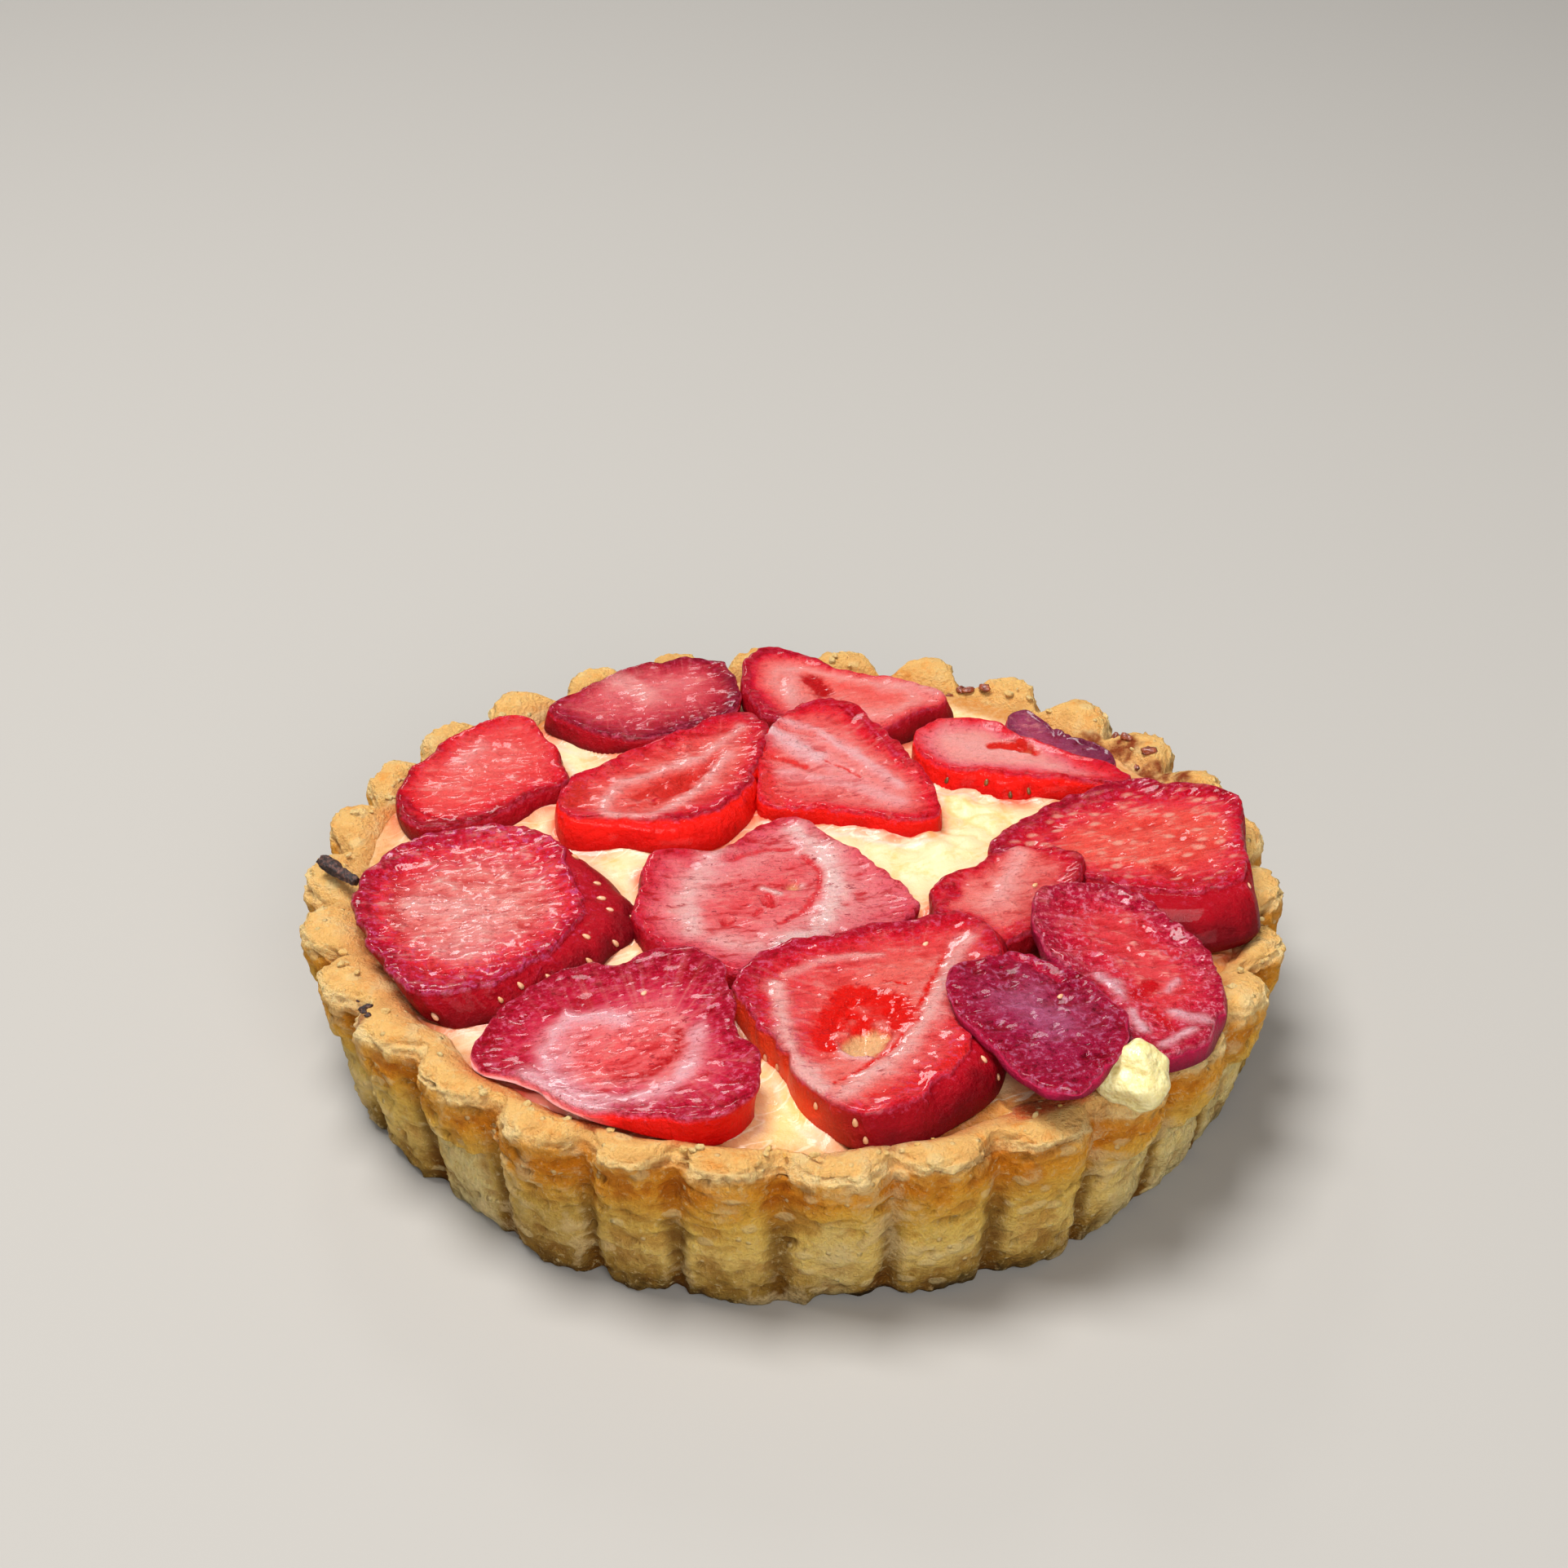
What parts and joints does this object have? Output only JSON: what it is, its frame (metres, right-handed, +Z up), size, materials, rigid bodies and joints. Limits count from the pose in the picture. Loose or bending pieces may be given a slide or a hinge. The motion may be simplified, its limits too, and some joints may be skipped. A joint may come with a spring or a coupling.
{
  "type": "strawberry tart",
  "caption": "Round fluted shortcrust tart filled with set custard and topped with overlapping slices of glazed strawberry.",
  "frame": {"origin": "centre of the bounding box at the height of the flat bottom that the tart stands on", "axes": "+Z up, -Y towards the front of the tart as pictured, +X to its right"},
  "size_m": [0.0994, 0.0993, 0.0234],
  "materials": {
    "crust": "baked shortcrust pastry, matte, golden on the rim and paler and greener below, porous and cracked",
    "custard": "set custard, pale yellow, smooth and moist, with a wrinkled glossy skin at the front",
    "strawberry": "cut strawberry, wet and translucent, pale pink in the middle and crimson at the skin",
    "dark_strawberry": "cut strawberry gone dark, wet, mottled purple and crimson",
    "vanilla": "dried vanilla pod, dark brown, matte and wrinkled",
    "glaze": "thin fruit glaze and juice, clear, pink to amber, glossy",
    "jam": "burnt dark jam and juice at the edge of the filling, sticky and glossy",
    "seed": "strawberry seeds, yellow to green-brown, glossy"
  },
  "bodies": {
    "root": {"crust": "crust", "custard": "custard", "slice_thin_dark": "dark_strawberry", "slice_right_dark": "dark_strawberry", "slice_front_hollow": "strawberry", "slice_small_pale": "strawberry", "slice_front_left": "strawberry", "slice_half_berry": "strawberry", "slice_centre_back": "strawberry", "slice_right_back": "strawberry", "slice_big_left": "strawberry", "slice_back_left": "dark_strawberry", "slice_left_rear": "strawberry", "slice_back": "strawberry", "slice_jammy": "dark_strawberry", "slice_big_right": "strawberry", "slice_centre_pale": "strawberry", "cream_lump": "custard", "vanilla_piece": "vanilla"}
  },
  "joints": []
}
